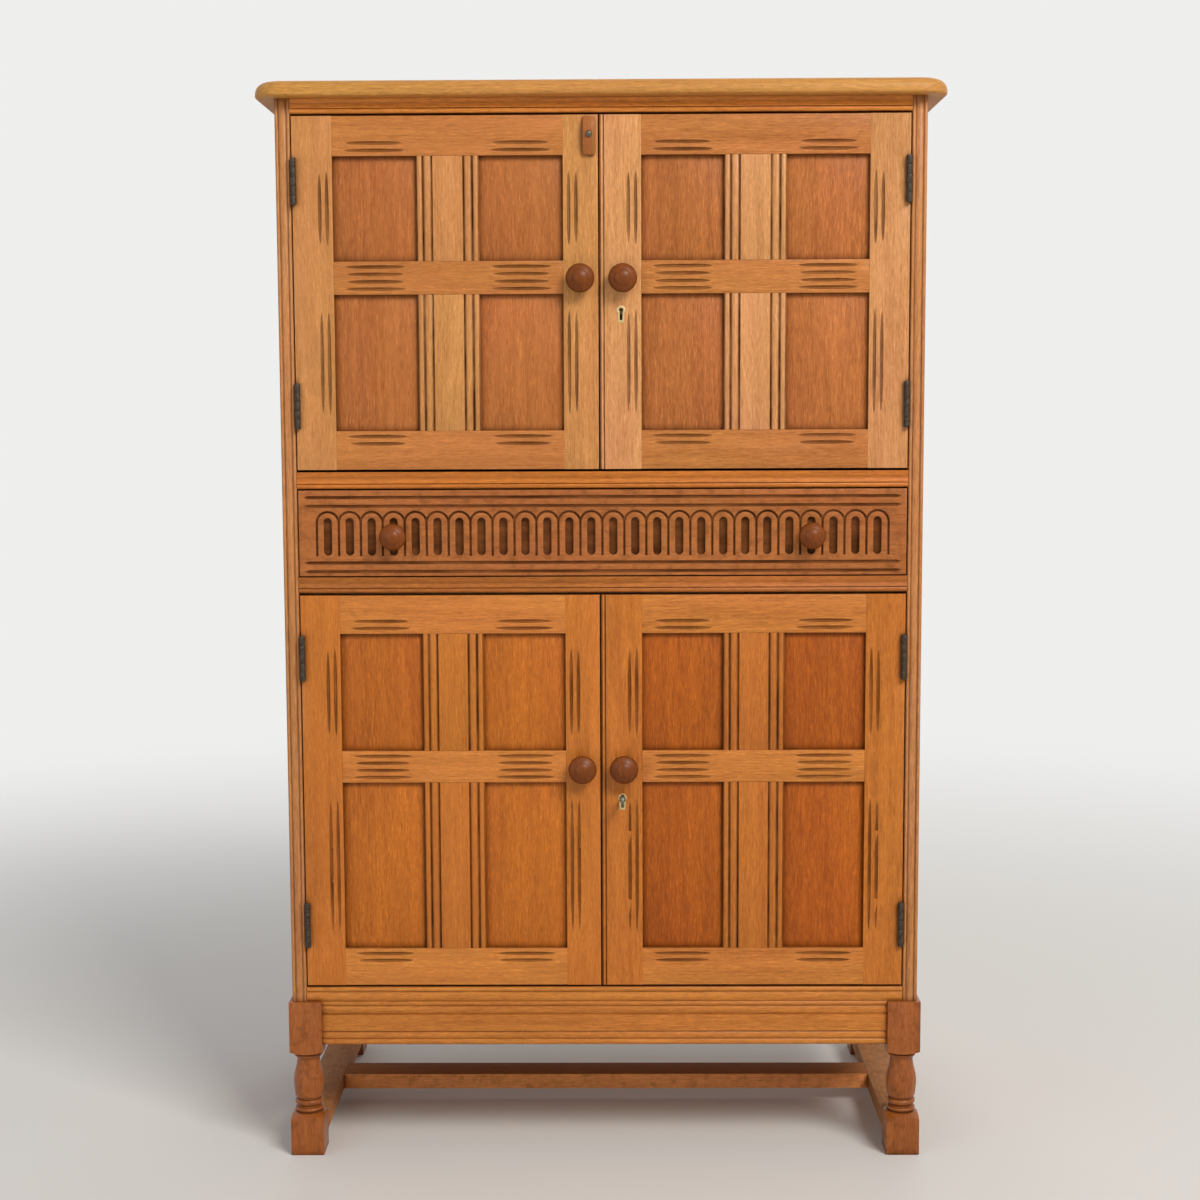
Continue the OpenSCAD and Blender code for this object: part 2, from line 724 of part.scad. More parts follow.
module lock_case(level) {
    x0 = meeting_edge(1) + lock_inset;
    color(iron) at_face() translate([0, 0, lock_z(level)]) difference() {
        board([x0, door_t, -lock_hh], [x0 + lock_w, door_t + lock_t, lock_hh]);
        // Room for the bit of the key
        translate([lock_x(), door_t - 1, 0]) rotate([-90, 0, 0])
            cylinder(r = bit_r + 1, h = bolt_y - fit - door_t + 1);
        // Channel of the bolt
        board([x0 - 1, bolt_y - fit, -bolt_h / 2 - fit],
            [x0 + lock_w - 4, bolt_y + bolt_t + fit, bolt_h / 2 + fit]);
    }
}

module lock_bolt(level) {
    x0 = meeting_edge(1) + lock_inset;
    color(brass) at_face() translate([0, 0, lock_z(level)])
        board([x0, bolt_y, -bolt_h / 2], [x0 + lock_w - 4 - bolt_travel, bolt_y + bolt_t, bolt_h / 2]);
}

key_shank_r = 2.2;
bow_r = 8;
bow_hole_r = 4.6;
bow_t = 3.8;
key_out = 12;          // from the face of the door to the bow
key_collar_r = 4;
module lower_key() {
    bit_from = door_t + fit;
    bit_to = bolt_y - 2 * fit;
    color(steel) at_face() translate([lock_x(), 0, lock_z(0)]) {
        translate([0, -key_out - 1, 0]) rotate([-90, 0, 0])
            cylinder(r = key_shank_r, h = key_out + 1 + bit_to);
        board([-bit_t / 2, bit_from, -bit_r], [bit_t / 2, bit_to, 0]);
        translate([0, -key_out - bow_r, 0]) rotate([0, 90, 0]) difference() {
            cylinder(r = bow_r, h = bow_t, center = true);
            cylinder(r = bow_hole_r, h = bow_t + 1, center = true);
        }
        translate([0, -key_out + 3, 0]) rotate([90, 0, 0]) cylinder(r = key_collar_r, h = 2);
    }
}

// Turn button: it hangs clear of the right door, and turns across the pair to hold them shut

button_screw_r = 2;
button_crown_r = 60;
module at_button() {
    at_face() translate([meeting_edge(-1) - button_in, 0, door_top(1) - button_drop]) children();
}

module turn_button() {
    color(dark_oak) at_button() rotate([90, 0, 0]) translate([0, 0, fit]) difference() {
        intersection() {
            translate([-button_w / 2, -button_arm, 0]) cube([button_w, button_len, button_t]);
            translate([0, button_len / 2 - button_arm, button_t - button_crown_r]) rotate([0, 90, 0])
                cylinder(r = button_crown_r, h = button_w + 2, center = true);
        }
        cylinder(r = button_screw_r + hinge_pin_play, h = 3 * button_t, center = true);
    }
}

module turn_button_screw() {
    head_r = 4;
    color(iron) at_button() rotate([90, 0, 0]) {
        translate([0, 0, -door_t + 4]) cylinder(r = button_screw_r, h = door_t - 4 + button_t + 2 * fit);
        translate([0, 0, button_t + 2 * fit]) difference() {
            intersection() {
                cylinder(r = head_r, h = 2.4);
                translate([0, 0, 2.4 - 5]) sphere(5);
            }
            translate([-head_r - 1, -0.5, 1.4]) cube([2 * head_r + 2, 1, 2]);
        }
    }
}

// Drawer

drawer_w = 2 * door_edge;
drawer_z = drawer_opening_z + 1.8;
drawer_h = drawer_opening_h - 3.6;
drawer_side_z = drawer_opening_z + fit;
drawer_side_h = drawer_h - 8;
drawer_floor_z = drawer_side_z + 9;
tail_len = 13;
tails = 3;

// The tails that lock a drawer side into the front, from z = 0 up
module tail_set() {
    pitch = drawer_side_h / tails;
    for (n = [0 : tails - 1]) translate([0, 0, n * pitch]) rotate([90, 0, 90])
        linear_extrude(drawer_side_t)
            polygon([[-tail_len, pitch * 0.12], [0, pitch * 0.2], [0, pitch * 0.8],
                [-tail_len, pitch * 0.88]]);
}

module at_tails(side) {
    mirror([side > 0 ? 0 : 1, 0, 0])
        translate([door_edge - drawer_side_t, drawer_front_t, drawer_side_z]) children();
}

// A round-headed outline over a straight foot, as wide as 2 r and standing on y = 0
module arch_outline(r, h) {
    translate([0, h - r]) circle(r);
    translate([-r, 0]) square([2 * r, h - r]);
}

arch_foot = 24.6;      // from the bottom of the drawer front to the feet of the arches
slot_foot = arch_foot + 0.6;
module arcade() {
    outer = arch_pitch / 2 + arch_groove_w / 2;
    inner = arch_pitch / 2 - arch_groove_w / 2;
    first = -(arch_count - 1) / 2 * arch_pitch;
    // Grooves that draw the arches
    translate([0, arch_groove_d, arch_foot]) rotate([90, 0, 0])
        linear_extrude(arch_groove_d + 1) difference() {
            for (n = [0 : arch_count - 1]) translate([first + n * arch_pitch, 0])
                arch_outline(outer, arch_h);
            for (n = [0 : arch_count - 1]) translate([first + n * arch_pitch, -1])
                arch_outline(inner, arch_h - arch_groove_w + 1);
        }
    // Sunk slots in the arches
    for (n = [0 : arch_count - 1]) translate([first + n * arch_pitch, slot_d, slot_foot])
        rotate([90, 0, 0]) linear_extrude(slot_d + 1) {
            slot_h = arch_h - 9.4;
            translate([0, slot_h - slot_w / 2]) circle(slot_w / 2);
            translate([0, slot_w / 2]) circle(slot_w / 2);
            translate([-slot_w / 2, slot_w / 2]) square([slot_w, slot_h - slot_w]);
        }
}

flute_r = 2.2;
flute_d = 1.5;
flute_tip = 7;         // length of the pointed end of a flute
flute_pitch = 10.8;    // between the two flutes of a pair
flute_in = 5;          // from the end of the drawer front to the end of a flute
low_flute = 5.4;       // from the bottom of the drawer front to the lowest flute
high_flute = 8.8;      // from its top to the highest flute
reed_low = 0.06;       // how far the crown of the reed in a pair lies under the face
reed_crown = 0.6;

// A long round-bottomed flute with pointed ends, along X
module flute(len) {
    translate([0, flute_d - flute_r, 0]) {
        rotate([0, 90, 0]) cylinder(r = flute_r, h = len - 2 * flute_tip, center = true);
        for (side = [-1, 1]) mirror([side > 0 ? 0 : 1, 0, 0]) translate([len / 2 - flute_tip, 0, 0])
            rotate([0, 90, 0]) cylinder(r1 = flute_r, r2 = flute_r - flute_d * 1.2, h = flute_tip + 2);
    }
}

// A pair of flutes with a reed between them, from the middle of the lower flute up
module flute_pair(len) {
    r = segment_r(flute_pitch, reed_crown);
    for (z = [0, flute_pitch]) translate([0, 0, z]) flute(len);
    along_x(-len / 2 + flute_tip, len / 2 - flute_tip) difference() {
        translate([-1, 0]) square([1 + reed_low + reed_crown, flute_pitch]);
        translate([reed_low + r, flute_pitch / 2]) circle(r);
    }
}

module drawer_front() {
    flute_len = drawer_w - 2 * flute_in;
    color(dark_oak) at_face() difference() {
        board([-door_edge, 0, drawer_z], [door_edge, drawer_front_t, drawer_z + drawer_h]);
        translate([0, 0, drawer_z]) {
            arcade();
            for (z = [low_flute, drawer_h - high_flute - flute_pitch])
                translate([0, 0, z]) flute_pair(flute_len);
        }
        for (side = [-1, 1]) {
            at_tails(side) tail_set();
            at_drawer_knob(side) rotate([-90, 0, 0]) translate([0, 0, -1])
                cylinder(r = spigot_r, h = spigot_len + 1);
        }
        drawer_bottom_space(drawer_d);
    }
}

module at_drawer_knob(side) {
    translate([side * 9.5 * arch_pitch, 0, drawer_z + drawer_h / 2 - drawer_knob_drop]) children();
}

back_groove = 4;
drawer_tail = 8;       // how far the drawer sides run on behind the drawer back
drawer_back_y = drawer_d - drawer_tail - drawer_side_t;

// The space of the drawer back, let into the two sides
module drawer_back_space() {
    x = door_edge - drawer_side_t + back_groove;
    board([-x, drawer_back_y, drawer_floor_z + drawer_bottom_t],
        [x, drawer_back_y + drawer_side_t, drawer_side_z + drawer_side_h - 6]);
}

// The space of the drawer bottom, in the grooves of the front and the sides
bottom_groove = 5;
module drawer_bottom_space(y1) {
    x = door_edge - drawer_side_t + bottom_groove;
    board([-x, drawer_front_t, drawer_floor_z], [x, y1, drawer_floor_z + drawer_bottom_t]);
    board([-door_edge + drawer_side_t, drawer_front_t - bottom_groove, drawer_floor_z],
        [door_edge - drawer_side_t, drawer_front_t + eps, drawer_floor_z + drawer_bottom_t]);
}

module drawer_sides() {
    color(ply) at_face() {
        difference() {
            for (side = [-1, 1]) mirror([side > 0 ? 0 : 1, 0, 0])
                board([door_edge - drawer_side_t, drawer_front_t, drawer_side_z],
                    [door_edge, drawer_d, drawer_side_z + drawer_side_h]);
            drawer_bottom_space(drawer_d + 1);
            drawer_back_space();
        }
        for (side = [-1, 1]) at_tails(side) tail_set();
    }
}

module drawer_back() {
    color(ply) at_face() drawer_back_space();
}

module drawer_bottom() {
    color(ply) at_face() drawer_bottom_space(drawer_d - 2);
}

module drawer_knobs() {
    color(dark_oak) at_face() for (side = [-1, 1]) at_drawer_knob(side)
        rotate([90, 0, 0]) knob(drawer_knob_d);
}

// Stand

apron_z = stand_h - apron_h;
apron_reeds = [7.5, 9.4, 10.7, 6];
apron_fascia = apron_h - apron_reeds[0] - apron_reeds[1] - apron_reeds[2] - apron_reeds[3];
apron_strips = [[apron_reeds[0], REED], [apron_reeds[1], REED], [apron_fascia, FLAT],
    [apron_reeds[2], REED], [apron_reeds[3], REED]];
tenon_t = 9;
tenon_len = 13;
tenon_h = apron_h - 16;
rear_y = body_d;
foot_tenon_w = 22;
foot_tenon_t = 11;

// The turned part: two rings over the foot, a vase, and a ring under the block
ring_r = 17.8;
groove_r = 15.2;       // of the turning between its rings
vase_foot_r = 17.4;
belly_r = 19.1;
neck_r = 14.4;
low_ring_h = 5.2;
high_ring_h = 8.2;
neck_ring_h = 4.6;
ring_gap = 2.6;        // between two rings
cove_r = 4.4;          // of the cove over the neck

// A half-round ring of the turning, from z up
function ring_points(z, h) = arc(ring_r - h / 2, z + h / 2, h / 2, -90, 90, 8);

module leg_turning() {
    block_z = stand_h - leg_block_h;
    low_ring_z = foot_h + 1.4;
    high_ring_z = low_ring_z + low_ring_h + ring_gap;
    vase_z = high_ring_z + high_ring_h + ring_gap + 0.8;
    neck_ring_z = block_z - neck_ring_h - 0.4;
    neck_z = neck_ring_z - cove_r * 0.75;
    belly_z = vase_z + (neck_z - vase_z) * 0.4;
    outline = concat([[0, foot_h - 8], [groove_r, foot_h - 8], [groove_r, low_ring_z - 0.4]],
        ring_points(low_ring_z, low_ring_h),
        [[groove_r, high_ring_z - ring_gap / 2]],
        ring_points(high_ring_z, high_ring_h),
        [[groove_r, high_ring_z + high_ring_h + 0.4], [groove_r, vase_z - 0.8]],
        [for (t = [0 : 0.2 : 1]) [vase_foot_r + (belly_r - vase_foot_r) * sin(90 * t),
            vase_z + (belly_z - vase_z) * t]],
        [for (t = [0.08 : 0.08 : 1]) [neck_r + (belly_r - neck_r) * (1 + cos(180 * t)) / 2,
            belly_z + (neck_z - belly_z) * t]],
        arc(neck_r + cove_r, neck_z, cove_r, 180, 142, 3),
        ring_points(neck_ring_z, neck_ring_h),
        [[groove_r, block_z], [groove_r, block_z + 8], [0, block_z + 8]]);
    rotate_extrude() polygon(outline);
}

// The lathe rounds the corners of the square blocks where they meet the turning
module turned_shoulder(h, drop) {
    corner_r = leg_w / sqrt(2) + 1;
    mid_r = leg_w / 2 - 3;
    rotate_extrude() polygon(concat([[0, -1], [corner_r, -1], [corner_r, h - drop]],
        [for (t = [0 : 0.25 : 1]) [corner_r - (corner_r - mid_r) * sin(90 * t),
            h - drop * (1 - t) * (1 - t)]],
        [[0, h]]));
}

// A leg at its own axis
module leg() {
    foot_bevel = 1.5;
    intersection() {
        translate([-leg_w / 2, -leg_w / 2, 0]) cube([leg_w, leg_w, foot_h]);
        turned_shoulder(foot_h, 8);
        rotate_extrude() polygon([[0, 0], [leg_w / sqrt(2) - foot_bevel, 0],
            [leg_w / sqrt(2) + 1, foot_bevel + 1], [leg_w / sqrt(2) + 1, foot_h + 1], [0, foot_h + 1]]);
    }
    leg_turning();
    translate([0, 0, stand_h]) mirror([0, 0, 1]) intersection() {
        translate([-leg_w / 2, -leg_w / 2, 0]) cube([leg_w, leg_w, leg_block_h]);
        turned_shoulder(leg_block_h, 5);
    }
}

leg_x = leg_out - leg_w / 2;
front_leg_y = leg_w / 2 - leg_proud;
rear_leg_y = rear_y - leg_w / 2;
side_apron_x = half_w;

module apron_tenon(x0, x1, y0, y1) {
    board([x0, y0, apron_z + (apron_h - tenon_h) / 2], [x1, y1, apron_z + (apron_h + tenon_h) / 2]);
}

module front_tenons() {
    for (side = [-1, 1]) mirror([side > 0 ? 0 : 1, 0, 0])
        apron_tenon(leg_in - eps, leg_in + tenon_len, (apron_t - tenon_t) / 2, (apron_t + tenon_t) / 2);
}

rear_apron_y = rear_y - apron_t;
module rear_tenons() {
    for (side = [-1, 1]) mirror([side > 0 ? 0 : 1, 0, 0])
        apron_tenon(leg_in - eps, leg_in + tenon_len, rear_apron_y + (apron_t - tenon_t) / 2,
            rear_apron_y + (apron_t + tenon_t) / 2);
}

side_apron_from = leg_w - leg_proud;
side_apron_to = rear_y - leg_w;
module side_tenons() {
    x1 = side_apron_x - (apron_t - tenon_t) / 2;
    for (side = [-1, 1]) mirror([side > 0 ? 0 : 1, 0, 0]) {
        apron_tenon(x1 - tenon_t, x1, side_apron_from - tenon_len, side_apron_from + eps);
        apron_tenon(x1 - tenon_t, x1, side_apron_to - eps, side_apron_to + tenon_len);
    }
}

module foot_tenons() {
    z = stretcher_z - stretcher_t / 2;
    for (side = [-1, 1]) mirror([side > 0 ? 0 : 1, 0, 0])
        for (ends = [[side_apron_from - tenon_len, side_apron_from + eps],
                [side_apron_to - eps, side_apron_to + tenon_len]])
            board([leg_x - foot_tenon_w / 2, ends[0], z - foot_tenon_t / 2],
                [leg_x + foot_tenon_w / 2, ends[1], z + foot_tenon_t / 2]);
}

module legs(y) {
    color(dark_oak) at_face() difference() {
        for (side = [-1, 1]) translate([side * leg_x, y, 0]) leg();
        front_tenons();
        rear_tenons();
        side_tenons();
        foot_tenons();
    }
}

module front_legs() { legs(front_leg_y); }
module rear_legs() { legs(rear_leg_y); }

module front_apron() {
    color(oak) at_face() {
        translate([0, 0, apron_z]) along_x(-leg_in, leg_in) moulded_section(apron_strips, apron_t);
        front_tenons();
    }
}

module rear_apron() {
    color(oak) at_face() {
        board([-leg_in, rear_apron_y, apron_z], [leg_in, rear_y, stand_h]);
        rear_tenons();
    }
}

module side_aprons() {
    color(oak) at_face() {
        for (side = [-1, 1]) mirror([side > 0 ? 0 : 1, 0, 0]) translate([side_apron_x, 0, apron_z])
            mirror([1, 0, 0]) translate([0, side_apron_to, 0]) rotate([90, 0, 0])
                linear_extrude(side_apron_to - side_apron_from) moulded_section(apron_strips, apron_t);
        side_tenons();
    }
}

stretcher_in = 0.5;    // how far a side stretcher stands back from each face of the legs
module side_stretchers() {
    color(oak) at_face() {
        difference() {
            for (side = [-1, 1]) mirror([side > 0 ? 0 : 1, 0, 0])
                board([leg_in + stretcher_in, side_apron_from, stretcher_z - stretcher_t],
                    [leg_out - stretcher_in, side_apron_to, stretcher_z]);
            cross_tenons();
        }
        foot_tenons();
    }
}

cross_y = (side_apron_from + side_apron_to) / 2;
module cross_tenons() {
    z = stretcher_z - stretcher_t / 2;
    for (side = [-1, 1]) mirror([side > 0 ? 0 : 1, 0, 0])
        board([leg_in + stretcher_in - eps, cross_y - cross_w / 2 + 7, z - foot_tenon_t / 2],
            [leg_in + stretcher_in + tenon_len, cross_y + cross_w / 2 - 7, z + foot_tenon_t / 2]);
}

module cross_stretcher() {
    x = leg_in + stretcher_in;
    color(oak) at_face() {
        board([-x, cross_y - cross_w / 2, stretcher_z - stretcher_t],
            [x, cross_y + cross_w / 2, stretcher_z]);
        cross_tenons();
    }
}

top_board();
frieze_rail();
side_stiles();
side_rails();
side_panels();
rear_top_rail();
back_panel();
upper_deck();
upper_drawer_rail();
lower_deck();
lower_drawer_rail();
base_board();
bottom_rail();
upper_shelf();
lower_shelf();
shelf_battens();
stops();
front_apron();
side_aprons();
rear_apron();
front_legs();
rear_legs();
side_stretchers();
cross_stretcher();
hinge_frame_leaves();
hinge_pins();
door_uprights(1, -1);  // upper_left_uprights
door_rails(1, -1);  // upper_left_rails
door_panels(1, -1);  // upper_left_panels
door_knob(1, -1);  // upper_left_knob
door_hinge_leaves(1, -1);  // upper_left_hinge_leaves
door_uprights(1, 1);  // upper_right_uprights
door_rails(1, 1);  // upper_right_rails
door_panels(1, 1);  // upper_right_panels
door_knob(1, 1);  // upper_right_knob
door_hinge_leaves(1, 1);  // upper_right_hinge_leaves
door_uprights(0, -1);  // lower_left_uprights
door_rails(0, -1);  // lower_left_rails
door_panels(0, -1);  // lower_left_panels
door_knob(0, -1);  // lower_left_knob
door_hinge_leaves(0, -1);  // lower_left_hinge_leaves
door_uprights(0, 1);  // lower_right_uprights
door_rails(0, 1);  // lower_right_rails
door_panels(0, 1);  // lower_right_panels
door_knob(0, 1);  // lower_right_knob
door_hinge_leaves(0, 1);  // lower_right_hinge_leaves
escutcheon(1);  // upper_escutcheon
escutcheon(0);  // lower_escutcheon
lock_case(1);  // upper_lock_case
lock_case(0);  // lower_lock_case
lock_bolt(1);  // upper_lock_bolt
lock_bolt(0);  // lower_lock_bolt
lower_key();
turn_button();
turn_button_screw();
drawer_front();
drawer_sides();
drawer_back();
drawer_bottom();
drawer_knobs();
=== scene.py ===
"""Looks of the oak bar cabinet: woods, metals, softened edges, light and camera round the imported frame."""
import bpy
import json
import math
from mathutils import Matrix, Vector


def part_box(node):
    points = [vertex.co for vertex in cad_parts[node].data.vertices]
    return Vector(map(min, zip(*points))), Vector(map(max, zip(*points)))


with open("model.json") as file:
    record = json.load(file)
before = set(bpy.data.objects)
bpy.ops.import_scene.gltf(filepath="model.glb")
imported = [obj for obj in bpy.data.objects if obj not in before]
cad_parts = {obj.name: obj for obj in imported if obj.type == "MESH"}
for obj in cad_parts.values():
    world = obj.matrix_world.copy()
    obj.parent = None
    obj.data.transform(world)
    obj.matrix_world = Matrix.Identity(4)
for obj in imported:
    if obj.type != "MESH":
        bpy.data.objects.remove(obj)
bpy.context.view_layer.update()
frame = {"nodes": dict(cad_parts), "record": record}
nodes = frame["nodes"]
scene = bpy.context.scene
slot_of = {part["node"]: part["material_slot"] for part in frame["record"]["subparts"]}

# One millimetre in metres, the unit of the frame
MM = 0.001
# Front of the side stiles and of the doors
FACE_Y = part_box("side_stiles")[0].y


def srgb(r, g, b):
    """An 8-bit screen colour as the linear colour that a shader takes."""
    return tuple(c / 255 / 12.92 if c <= 10 else ((c / 255 + 0.055) / 1.055) ** 2.4 for c in (r, g, b))


def scaled(colour, by):
    return tuple(part * factor for part, factor in zip(colour, by))


class Graph:
    """Adds shader nodes with short calls; a value is a number, a tuple or another node's output."""

    def __init__(self, tree):
        self.nodes = tree.nodes
        self.links = tree.links

    def add(self, kind, **props):
        node = self.nodes.new(kind)
        for name, value in props.items():
            setattr(node, name, value)
        return node

    def put(self, socket, value):
        if hasattr(value, "is_output"):
            self.links.new(value, socket)
        elif socket.type == "RGBA" and len(value) == 3:
            socket.default_value = (*value, 1.0)
        else:
            socket.default_value = value

    def math(self, op, a, b=0.0, clamp=False):
        node = self.add("ShaderNodeMath", operation=op, use_clamp=clamp)
        self.put(node.inputs[0], a)
        self.put(node.inputs[1], b)
        return node.outputs[0]

    def vec(self, op, a, b):
        node = self.add("ShaderNodeVectorMath", operation=op)
        self.put(node.inputs[0], a)
        self.put(node.inputs["Scale" if op == "SCALE" else 1], b)
        return node.outputs["Vector"]

    def length(self, a):
        node = self.add("ShaderNodeVectorMath", operation="LENGTH")
        self.put(node.inputs[0], a)
        return node.outputs["Value"]

    def combine(self, x, y, z):
        node = self.add("ShaderNodeCombineXYZ")
        for socket, value in zip(node.inputs, (x, y, z)):
            self.put(socket, value)
        return node.outputs[0]

    def split(self, v):
        node = self.add("ShaderNodeSeparateXYZ")
        self.put(node.inputs[0], v)
        return node.outputs

    def noise(self, v, detail=2.0, rough=0.5):
        node = self.add("ShaderNodeTexNoise")
        self.put(node.inputs["Vector"], v)
        node.inputs["Scale"].default_value = 1.0
        node.inputs["Detail"].default_value = detail
        node.inputs["Roughness"].default_value = rough
        return node.outputs["Fac"]

    def level(self, value, low, high, to_low=0.0, to_high=1.0, smooth=False):
        node = self.add("ShaderNodeMapRange", interpolation_type="SMOOTHSTEP" if smooth else "LINEAR")
        self.put(node.inputs["Value"], value)
        for name, number in (("From Min", low), ("From Max", high), ("To Min", to_low), ("To Max", to_high)):
            self.put(node.inputs[name], number)
        return node.outputs["Result"]

    def mix(self, fac, a, b, blend="MIX"):
        node = self.add("ShaderNodeMix", data_type="RGBA", blend_type=blend)
        for name, value in (("Factor", fac), ("A", a), ("B", b)):
            socket = next(s for s in node.inputs if s.name == name and s.enabled)
            self.put(socket, value)
        return next(s for s in node.outputs if s.enabled)

    def times(self, colour, by):
        return self.mix(1.0, colour, by, "MULTIPLY")

    def occlusion(self, distance, inside=False):
        node = self.add("ShaderNodeAmbientOcclusion", samples=8, inside=inside)
        node.inputs["Distance"].default_value = distance
        return node.outputs["AO"]

    def bump(self, shader, height, strength, distance):
        node = self.add("ShaderNodeBump")
        node.inputs["Strength"].default_value = strength
        node.inputs["Distance"].default_value = distance
        self.put(node.inputs["Height"], height)
        self.put(shader.inputs["Normal"], node.outputs["Normal"])

    def either(self, fac, first, second, output):
        """Sends one of two shaders to the output: the second where fac is 1."""
        node = self.add("ShaderNodeMixShader")
        self.put(node.inputs["Fac"], fac)
        self.put(node.inputs[1], first)
        self.put(node.inputs[2], second)
        self.put(self.nodes[output].inputs["Surface"], node.outputs[0])


def new_material(name):
    material = bpy.data.materials.new(name)
    material.use_nodes = True
    graph = Graph(material.node_tree)
    return material, graph, graph.nodes["Principled BSDF"]


# Noises of the oak: features per metre across the grain, features per metre along it, and detail
NOISE = {
    "cloud": (22, 2.4, 2.0),
    "band": (130, 5, 2.0),
    "streak": (560, 55, 2.0),
    "tick": (820, 95, 1.0),
    "pore": (2300, 210, 1.0),
    "hue": (14, 3.5, 1.0),
    "ray": (520, 85, 1.0),
    "patch": (60, 20, 2.0),
    "rub": (45, 14, 3.0),
}
NOISE_ROUGH = 0.55
# How much four of them, a growth ring and the board as a whole change the shade
SHADE = {"cloud": 0.75, "band": 1.1, "streak": 1.7, "tick": 1.8}
RING_SHADE = 0.42
BOARD_SHADE = 0.22
# How far apart the boards may lie in the noises, in metres
BOARDS_APART = 7.0
# Features per metre, across and along, of the waves that sway the grain, and how far they sway it in metres,
# both ways across the board
SWAYS = (6, 3)
SWAY_A, SWAY_B = 0.024, 0.0144
# Where the heart of the rings lies, in metres from the origin: its place varies by so much one way, and by so
# much from a least distance the other way
HEART_SPREAD_A, HEART_SPREAD_B = 0.3, 0.08
HEART_LEAST_B = 0.06
# Growth rings per metre, the bends in them per metre, and how far a bend pushes them, in metres
RINGS = 260
RING_BENDS = 12
RING_BEND = 0.02
# Where in a ring its dark part starts to end, and the darkness of a ring that leaves the shade as it is
RING_END = 0.8
RING_MEAN = 0.36
# Blotches of the old stain per metre
BLOTCHES = 70
# How much a clean surface shines, how much of that dirt and painted shade take away, how much rougher they
# make the wood, and how rough the varnish is
SHINE = 0.25
DIRT_AND_SHADE_DULL = 0.85
DIRT_AND_SHADE_ROUGHEN = 0.25
VARNISH_ROUGH = 0.25
# Strength and height of the relief of the grain, and of the pits in the metals
GRAIN_RELIEF = (0.4, 0.3 * MM)
PIT_RELIEF = (0.25, 0.2 * MM)
# How wide a corner may be to hold dirt and painted shade, and how far in from an edge the wood is rubbed and
# painted lighter as a highlight
CORNER = 9 * MM
RUB_DEPTH = 2 * MM

# What the tone of a board is multiplied by, from its darkest grain to its lightest
DARKEST, LIGHTEST = (0.70, 0.63, 0.52), (1.30, 1.37, 1.48)
PINKER, YELLOWER = (1.015, 0.98, 1.04), (0.985, 1.02, 0.95)
RAY_LIGHT = (1.28, 1.3, 1.34)
PORE_DARK = (0.62, 0.52, 0.42)
# Lighter colour of rubbed edges, which is also a painted highlight
RUBBED_AND_HIGHLIT = (1.5, 1.6, 1.7)
# Colour of dirt, old stain and painted shade
STAIN_AND_SHADE = srgb(66, 34, 12)

# How strongly a wood shows its grain, rings, pores, light flecks, the dirt and painted shade of its corners,
# and its rubbed edges with their painted highlight, and how rough and how varnished it is. Crease is how wide a
# groove may be to hold dirt and painted shade, and cut is the old stain and painted shade in the carving, by
# depth behind the face: where it starts, where it is full, all in millimetres, and its strength. Reeds says the
# same of the reeds of the muntins. Top is a painted shadow on what faces up, side is painted shade on what
# turns away from the front, and blotch is the stain in patches.
PLAIN = dict(grain=0.8, rings=0.5, pores=0.7, fleck=0.5, dirt_and_shade=0.8, wear_and_highlight=0.6, rough=0.42, coat=0.08,
             crease=2.2)
STRETCHER = dict(PLAIN, dirt_and_shade=0.9, rough=0.62, coat=0.0, blotch=0.3)
FINISH = {
    "rail": dict(PLAIN, grain=0.7, wear_and_highlight=0.8, cut=(0.03, 0.35, 0.68)),
    "frame": dict(PLAIN, grain=0.65, wear_and_highlight=0.8, cut=(0.03, 0.35, 0.68), reeds=(0.3, 1.2, 0.95)),
    "moulding": dict(PLAIN, rings=0.4, wear_and_highlight=0.8, coat=0.10, cut=(0.9, 1.5, 0.5)),
    "stile": dict(PLAIN, rings=0.4, dirt_and_shade=0.7, wear_and_highlight=0.8, cut=(0.7, 1.4, 0.5)),
    "panel": dict(PLAIN, grain=0.9, rings=0.25, pores=0.9, fleck=0.8, wear_and_highlight=0.0, rough=0.48, coat=0.03),
    "board": dict(PLAIN, dirt_and_shade=0.5, rough=0.45, coat=0.06),
    "carved": dict(PLAIN, rings=0.3, dirt_and_shade=1.0, wear_and_highlight=0.8, crease=3.0, cut=(0.08, 0.9, 0.85), blotch=0.35),
    "turned": dict(PLAIN, pores=0.8, dirt_and_shade=1.0, wear_and_highlight=0.7, rough=0.32, coat=0.22, crease=5.0, blotch=0.35),
    # Knobs, with painted shade on their rims
    "knob": dict(PLAIN, rings=0.3, fleck=0.1, dirt_and_shade=0.9, wear_and_highlight=0.9, rough=0.38, coat=0.06, side=0.7),
    "stretcher": STRETCHER,
    # The cross stretcher, with a painted shadow on its top
    "dusty": dict(STRETCHER, top=0.62),
    "inner": dict(PLAIN, pores=0.35, fleck=0.2, dirt_and_shade=0.4, wear_and_highlight=0.1, rough=0.60, coat=0.0),
}
# How far behind the face the carving goes: the slots of the drawer are the deepest
CARVED_TO = 5.4 * MM
# The muntins of the doors: how far they are from the middle of the cabinet, and their half width
MUNTIN_X = sum(abs(corner.x) for side in ("left", "right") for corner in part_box("upper_%s_panels" % side)) / 4
MUNTIN_HALF = 38 * MM


